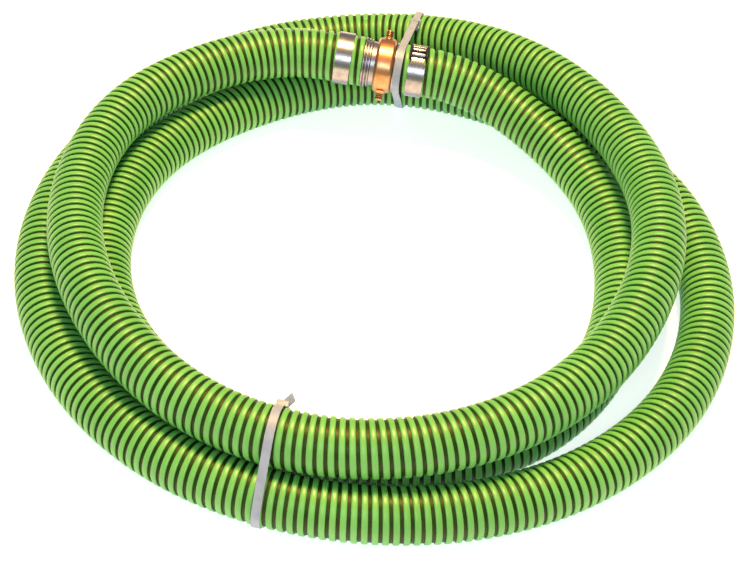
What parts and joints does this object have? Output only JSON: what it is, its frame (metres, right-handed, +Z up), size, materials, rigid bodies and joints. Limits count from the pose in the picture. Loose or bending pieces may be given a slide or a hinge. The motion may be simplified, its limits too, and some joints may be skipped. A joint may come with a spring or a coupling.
{
  "type": "suction hose",
  "caption": "Coiled ribbed suction hose, its ends joined by a threaded swivel coupling with lugs, clamped on both sides and held by cable ties.",
  "frame": {"origin": "on the floor, under the middle of the coil's box", "axes": "+Z up, the way the coil is thin; -Y is the side away from the joint, +X right as seen from -Y"},
  "size_m": [0.8022, 0.819, 0.1286],
  "materials": {
    "hose_plastic": "satin",
    "coupling_metal": "machined",
    "nut_brass": "cast and polished",
    "clamp_steel": "polished",
    "tie_nylon": "satin"
  },
  "bodies": {
    "coil": {"hose": "hose_plastic", "male_coupling": "coupling_metal", "female_shank": "coupling_metal", "left_band_clamp": "clamp_steel", "right_band_clamp": "clamp_steel", "rear_cable_tie": "tie_nylon", "front_cable_tie": "tie_nylon"},
    "nut": {"swivel_nut": "nut_brass"}
  },
  "joints": [
    {"name": "nut_swivel", "type": "hinge", "parent": "coil", "child": "nut", "pos_m": [-0.01473, 0.26352, 0.0888], "axis": [0.9969, -0.061, -0.0489], "range_deg": [-68, 55]}
  ]
}
